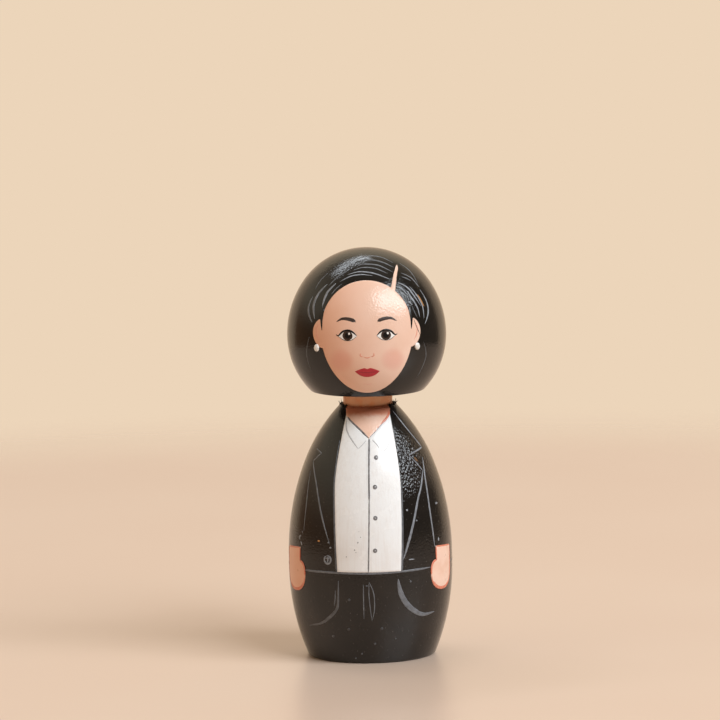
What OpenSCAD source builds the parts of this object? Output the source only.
// Turned wooden peg doll with a head that turns on a dowel neck.
// The front of the doll faces -Y. The origin is the middle of the foot.

/* [Body] */
// Height of the turned body, from the foot to the rim of the neck socket
body_h = 61.5; // [56:0.5:67]
// Greatest diameter of the body, at the belly
belly_d = 40; // [36:0.5:46]
// Height at which the straight band of the belly begins
belly_z = 22; // [18:0.5:25]
// Length of the straight band of the belly
belly_band = 3; // [1:0.5:5]
// Diameter of the foot, before its edge is rounded
foot_d = 31; // [26:0.5:34]
// Rounding of the edge of the foot
foot_round = 0.8; // [0.4:0.1:1.5]
// How far the shoulder line lies inside the belly, on one side
shoulder_in = 4.4; // [3:0.1:5.4]
// How far the shoulder line lies below the rim of the neck socket
shoulder_drop = 13.5; // [10:0.5:16]
// Width of the flat rim round the neck socket
rim_w = 0.6; // [0.4:0.1:1.2]

/* [Head] */
// Greatest diameter of the head
head_d = 38.8; // [35:0.2:44]
// Height of the crown above the widest level of the head
crown_h = 21.2; // [18:0.2:24]
// Depth of the flat underside below the widest level of the head
under_drop = 13.6; // [11:0.2:15]
// Rounding of the edge of the flat underside
under_round = 0.6; // [0.3:0.1:1.2]

/* [Neck dowel] */
// Diameter of the neck dowel
neck_d = 12; // [10:0.5:14]
// Length of neck that shows between the body and the head
neck_len = 3.7; // [2:0.1:6]
// Depth of the straight wall of the socket in the head
head_socket = 12; // [8:0.5:16]
// Depth of the straight wall of the socket in the body
body_socket = 16; // [10:0.5:24]
// Chamfer on both ends of the dowel
dowel_chamfer = 0.8; // [0.4:0.1:1.5]
// Radial glue gap between the dowel and the head
glue_gap = 0.05; // [0.02:0.01:0.1]
// Radial running clearance between the dowel and the body
turn_gap = 0.05; // [0.02:0.01:0.1]
// Free space beyond each end of the dowel
end_gap = 0.4; // [0.2:0.1:1]
// Countersink at the mouth of each socket
mouth_chamfer = 0.3; // [0.2:0.1:0.5]
// Full point angle of the drill that made the sockets
drill_angle = 118; // [100:1:140]

/* [Paint coats] */
// Thickness of a top coat of paint
coat_t = 0.12; // [0.08:0.01:0.2]
// Thickness of the bond between the base coat and a top coat
coat_gap = 0.03; // [0.02:0.01:0.05]

/* [Face coat] */
// Width of the face between the side locks of hair
face_w = 22; // [18:0.5:24]
// Height of the chin above the flat underside of the head
chin_rise = 1.2; // [1:0.1:3]
// Height of the face from the chin to the hairline
face_h = 27.2; // [23:0.2:29]
// How much the face narrows towards the chin, as a share of its width
face_taper = 0.1; // [0:0.01:0.2]
// Height of an ear
ear_h = 7; // [5:0.5:9]
// How far an ear stands out past the face
ear_out = 1.9; // [1:0.1:3]
// Drop of the lowest point of an ear below the widest level of the head
ear_drop = 1.2; // [0.4:0.1:4]
// Distance of the parting from the middle of the hairline
parting_x = 6.6; // [3:0.1:8]
// Length of the parting above the hairline
parting_len = 5.4; // [4:0.1:6]
// Width of the parting at the hairline
parting_w = 1.3; // [0.8:0.1:2]
// Width of the parting at its tip
parting_tip_w = 0.5; // [0.3:0.1:0.7]
// Lean of the parting away from upright
parting_lean = 12; // [0:1:20]

/* [Pearl earrings] */
// Diameter of a pearl dot
pearl_d = 1.5; // [1:0.1:2]
// Distance of a pearl dot from the middle of the face
pearl_x = 12; // [10:0.1:14]

/* [Shirt and throat coats] */
// Height of the jacket's hem, where the shirt ends
hem_z = 22.9; // [20:0.1:26]
// Width of the shirt at the hem
shirt_hem_w = 15.4; // [12:0.2:18]
// Width of the shirt at mid height
shirt_mid_w = 16; // [13:0.2:19]
// Distance of the middle of the shirt from the middle of the doll, below the collar
shirt_shift = -0.4; // [-1:0.1:1]
// Width of the shirt at the points of its collar
collar_w = 10.6; // [8:0.2:12]
// Depth of the neckline's point below the rim of the neck socket
neckline_drop = 6.8; // [5:0.1:9]
// Depth of the collar's points below the rim of the neck socket
collar_drop = 1.7; // [1.2:0.1:2.5]

/* [Hand coats] */
// Turn of the left hand from the front of the doll
left_hand_turn = 60; // [50:1:72]
// Turn of the right hand from the front of the doll
right_hand_turn = 66; // [50:1:72]
// Height of the jacket's cuff, where a hand begins
cuff_z = 28.2; // [25:0.1:31]
// Length of a hand below the cuff
hand_len = 11; // [8:0.2:13]
// Width of a wrist at the cuff
wrist_w = 7.2; // [5:0.1:8]
// Width of a hand across its palm and thumb
palm_w = 9.2; // [8.4:0.1:11]
// Depth below the cuff at which the thumb leaves the wrist
thumb_drop = 3.4; // [2:0.1:4.4]
// Depth below the cuff at which a hand is widest
palm_drop = 6.2; // [5:0.1:7.2]

/* [Hidden] */
$fn = 96;

// Paint colours
black_paint = [0.09, 0.085, 0.08];
skin_paint = [0.91, 0.70, 0.58];
white_paint = [0.93, 0.92, 0.89];
pearl_paint = [0.97, 0.96, 0.93];

// Room for cutting shapes that run past what they cut
past = 1;
// Place of the tip of a hand across its palm, as a share from the back of the hand
tip_share = 0.42;
// Steps along each drawn curve
curve_steps = 12;
// Steps along each stretch of the outline of the face
face_steps = 20;

// Both faces of a top coat, measured out from the base coat
coat_in = coat_gap;
coat_out = coat_gap + coat_t;

// Levels on the doll
under_z = body_h + neck_len;
head_z = under_z + under_drop;
chin_z = under_z + chin_rise;
face_mid_z = chin_z + face_h / 2;
ear_mid_z = head_z - ear_drop + ear_h / 2;
dowel_bottom_z = body_h - body_socket + end_gap;
dowel_top_z = under_z + head_socket - end_gap;
dowel_r = neck_d / 2;

// Unit vector of a plane vector
function unit(v) = v / norm(v);

// Radius of an arc that leaves a vertical wall and comes in by "inset" over "rise"
function arc_radius(inset, rise) = (inset * inset + rise * rise) / (2 * inset);

// Point on a quadratic curve through its two ends, pulled towards "pull"
function curve_point(a, pull, b, t) = (1 - t) * (1 - t) * a + 2 * t * (1 - t) * pull + t * t * b;

// Points on a quadratic curve, both ends included
function curve(a, pull, b) = [for (i = [0 : curve_steps]) curve_point(a, pull, b, i / curve_steps)];

// Curves of the body: foot to belly, belly to shoulder, shoulder to rim
belly_r = belly_d / 2;
belly_top_z = belly_z + belly_band;
rim_r = dowel_r + turn_gap + mouth_chamfer + rim_w;
foot_curve_r = arc_radius(belly_r - foot_d / 2, belly_z);
foot_centre = [belly_r - foot_curve_r, belly_z];
shoulder = [belly_r - shoulder_in, body_h - shoulder_drop];
side_curve_r = arc_radius(shoulder_in, shoulder[1] - belly_top_z);
side_centre = [belly_r - side_curve_r, belly_top_z];
shoulder_out = unit(shoulder - side_centre);
to_rim = [rim_r, body_h] - shoulder;
shoulder_curve_r = -(to_rim * to_rim) / (2 * to_rim * shoulder_out);
shoulder_centre = shoulder - shoulder_curve_r * shoulder_out;

// Curves of the head: a ball below its widest level, and a side and a crown curve above
head_r = head_d / 2;
cheek_curve_r = crown_h * crown_h / head_r;
cheek_centre = [head_r - cheek_curve_r, 0];
crown_gap = crown_h - cheek_curve_r;
crown_curve_r = abs(crown_gap) < 0.01 ? head_r
    : (pow(cheek_centre[0], 2) + pow(crown_h, 2) - pow(cheek_curve_r, 2)) / (2 * crown_gap);
crown_centre = [0, crown_h - crown_curve_r];
crown_out = abs(crown_gap) < 0.01 ? unit([1, 1])
    : unit(crown_centre - cheek_centre) * sign(cheek_curve_r - crown_curve_r);

// Part of a round plate that lies between two levels and right of the axis
module arc_slice(centre, radius, low, high) {
    intersection() {
        translate(centre) circle(radius);
        translate([0, low]) square([abs(centre[0]) + radius + past, high - low]);
    }
}

// Slice of a profile whose lower edge is rounded where an arc meets a flat face at height "low"
module rounded_edge_slice(centre, radius, low, high, round_r) {
    rise = centre[1] - low - round_r;
    edge = [centre[0] + sqrt(pow(radius - round_r, 2) - rise * rise), low + round_r];
    meet = centre + radius * unit(edge - centre);
    arc_slice(centre, radius, meet[1], high);
    arc_slice(edge, round_r, low, meet[1]);
    translate([0, low]) square([edge[0], meet[1] - low]);
}

// Half profile of the body, grown outwards by "grow"
module body_profile(grow = 0) {
    rounded_edge_slice(foot_centre, foot_curve_r + grow, 0, belly_z, foot_round + grow);
    translate([0, belly_z]) square([belly_r + grow, belly_band]);
    arc_slice(side_centre, side_curve_r + grow, belly_top_z, shoulder[1] + grow * shoulder_out[1]);
    arc_slice(shoulder_centre, shoulder_curve_r + grow, shoulder[1] + grow * shoulder_out[1], body_h);
}

// Half profile of the head about its widest level, grown outwards by "grow"
module head_profile(grow = 0) {
    join_z = (cheek_centre + (cheek_curve_r + grow) * crown_out)[1];
    rounded_edge_slice([0, 0], head_r + grow, -under_drop, 0, under_round + grow);
    arc_slice(cheek_centre, cheek_curve_r + grow, 0, join_z);
    arc_slice(crown_centre, crown_curve_r + grow, join_z, crown_h + grow);
    square([head_r / 2, join_z]);
}

// Solid of the body, grown outwards by "grow"
module body_blank(grow = 0) {
    rotate_extrude() body_profile(grow);
}

// Solid of the head, grown outwards by "grow"
module head_blank(grow = 0) {
    translate([0, 0, head_z]) rotate_extrude() head_profile(grow);
}

// Drilled socket that opens at the origin and runs along +Z
module socket(radius, depth) {
    tip = radius / tan(drill_angle / 2);
    translate([0, 0, -past]) cylinder(r = radius, h = depth + past);
    translate([0, 0, depth]) cylinder(r1 = radius, r2 = 0, h = tip);
    cylinder(r1 = radius + mouth_chamfer, r2 = radius, h = mouth_chamfer);
}

// Prism of a front outline, turned about the axis, that reaches the surface on its own side only
module outline_prism(turn = 0) {
    rotate([0, 0, turn]) rotate([90, 0, 0]) linear_extrude(belly_r + head_r) children();
}

// Top coat of paint on the body, inside a front outline
module body_coat(turn = 0) {
    intersection() {
        difference() {
            body_blank(coat_out);
            body_blank(coat_in);
        }
        outline_prism(turn) children();
    }
}

// Top coat of paint on the head, inside a front outline
module head_coat() {
    intersection() {
        difference() {
            head_blank(coat_out);
            head_blank(coat_in);
        }
        outline_prism() children();
    }
}

// Turned body with its neck socket
module body() {
    color(black_paint) difference() {
        body_blank();
        translate([0, 0, body_h]) mirror([0, 0, 1]) socket(dowel_r + turn_gap, body_socket);
    }
}

// Turned head with its neck socket
module head() {
    color(black_paint) difference() {
        head_blank();
        translate([0, 0, under_z]) socket(dowel_r + glue_gap, head_socket);
    }
}

// Dowel that is glued into the head and turns in the body
module neck_dowel() {
    length = dowel_top_z - dowel_bottom_z;
    tip_r = dowel_r - dowel_chamfer;
    color(skin_paint) translate([0, 0, dowel_bottom_z]) {
        cylinder(r1 = tip_r, r2 = dowel_r, h = dowel_chamfer);
        translate([0, 0, dowel_chamfer]) cylinder(r = dowel_r, h = length - 2 * dowel_chamfer);
        translate([0, 0, length - dowel_chamfer]) cylinder(r1 = dowel_r, r2 = tip_r, h = dowel_chamfer);
    }
}

// Point on the egg-shaped outline of the face, which is narrower at the chin
function face_point(angle) = [
    face_w / 2 * cos(angle) * (1 + face_taper * sin(angle)),
    face_mid_z + face_h / 2 * sin(angle)
];

// Point on the outline of an ear, which stands out from the side of the face
function ear_point(angle) = let (z = ear_mid_z + ear_h / 2 * sin(angle))
    [face_point(asin((z - face_mid_z) / (face_h / 2)))[0] + ear_out * cos(angle), z];

// Right side of the face: jaw, ear and temple, from the chin to the hairline
function face_side() = let (
    lobe = asin((ear_mid_z - ear_h / 2 - face_mid_z) / (face_h / 2)),
    tip = asin((ear_mid_z + ear_h / 2 - face_mid_z) / (face_h / 2))
) concat(
    [for (i = [0 : face_steps]) face_point(-90 + (lobe + 90) * i / face_steps)],
    [for (i = [1 : face_steps - 1]) ear_point(-90 + 180 * i / face_steps)],
    [for (i = [0 : face_steps]) face_point(tip + (90 - tip) * i / face_steps)]
);

// Outline of the face with both ears
module face_outline() {
    right = face_side();
    left = [for (i = [len(right) - 2 : -1 : 1]) [-right[i][0], right[i][1]]];
    polygon(concat(right, left));
}

// Sliver of skin that shows where the hair is parted
module parting_outline() {
    reach = face_h / 4;
    spread = (parting_w - parting_tip_w) / 2 * reach / parting_len;
    foot_half = parting_w / 2 + spread;
    tip_half = parting_tip_w / 2;
    base_z = face_mid_z + face_h / 2 * sqrt(1 - pow(2 * parting_x / face_w, 2));
    translate([parting_x, base_z]) rotate(-parting_lean) {
        polygon([[-foot_half, -reach], [foot_half, -reach], [tip_half, parting_len], [-tip_half, parting_len]]);
        translate([0, parting_len]) circle(tip_half);
    }
}

// Skin paint of the face, the ears and the parting
module face_coat() {
    color(skin_paint) head_coat() {
        face_outline();
        parting_outline();
    }
}

// Raised pearl dots with flat backs, on the lobes of both ears
module pearl_earrings() {
    seat_r = head_r + coat_out + coat_gap;
    drop = asin(ear_drop / seat_r);
    turn = asin(pearl_x / (seat_r * cos(drop)));
    color(pearl_paint) for (side = [-1, 1]) {
        translate([0, 0, head_z]) rotate([90 + drop, 0, side * turn]) translate([0, 0, seat_r]) pearl_dot();
    }
}

// Half-round drop of paint that stands on the plane of its flat back
module pearl_dot() {
    rotate_extrude() intersection() {
        circle(d = pearl_d);
        square(pearl_d);
    }
}

// Open neckline: a point, the two points of the collar, and the sides of the neck above them
module neckline_outline() {
    half = collar_w / 2;
    collar_z = body_h - collar_drop;
    top_z = body_h + past;
    polygon([[0, body_h - neckline_drop], [half, collar_z], [half, top_z], [-half, top_z], [-half, collar_z]]);
}

// Edge of the shirt on one side, 1 or -1, from the hem to the collar
function shirt_edge(side) = let (
    hem = [side * shirt_hem_w / 2 + shirt_shift, hem_z],
    middle = [side * shirt_mid_w / 2 + shirt_shift, (hem_z + body_h) / 2],
    collar = [side * collar_w / 2, body_h - collar_drop],
    chest_pull = [side * (3 * shirt_mid_w - shirt_hem_w) / 4 + shirt_shift, (hem[1] + middle[1]) / 2],
    lapel = curve(middle, [middle[0], shoulder[1]], collar)
) concat(curve(hem, chest_pull, middle), [for (i = [1 : curve_steps]) lapel[i]]);

// Front of the shirt that shows between the edges of the jacket
module shirt_outline() {
    left = shirt_edge(-1);
    difference() {
        polygon(concat(shirt_edge(1), [for (i = [len(left) - 1 : -1 : 0]) left[i]]));
        neckline_outline();
    }
}

// White paint of the shirt
module shirt_coat() {
    color(white_paint) body_coat() shirt_outline();
}

// Skin paint of the throat, inside the neckline
module throat_coat() {
    color(skin_paint) intersection() {
        body_coat() neckline_outline();
        translate([0, 0, body_h - neckline_drop - past]) cylinder(r = belly_d, h = neckline_drop + past - coat_out);
    }
}

// Hand that hangs from its cuff, drawn with its thumb towards +X
module hand_outline() {
    back = -palm_w / 2;
    front = palm_w / 2;
    wrist = back + wrist_w;
    palm_z = cuff_z - palm_drop;
    thumb_z = cuff_z - thumb_drop;
    tip = [back + palm_w * tip_share, cuff_z - hand_len];
    polygon(concat(
        [[wrist, cuff_z], [back, cuff_z]],
        curve([back, palm_z], [back, tip[1]], tip),
        curve(tip, [front, tip[1]], [front, palm_z]),
        curve([front, palm_z], [front, thumb_z], [wrist, thumb_z])
    ));
}

// Skin paint of the left hand
module left_hand_coat() {
    color(skin_paint) body_coat(left_hand_turn) mirror([1, 0]) hand_outline();
}

// Skin paint of the right hand
module right_hand_coat() {
    color(skin_paint) body_coat(-right_hand_turn) hand_outline();
}

body();
head();
neck_dowel();
face_coat();
pearl_earrings();
shirt_coat();
throat_coat();
left_hand_coat();
right_hand_coat();
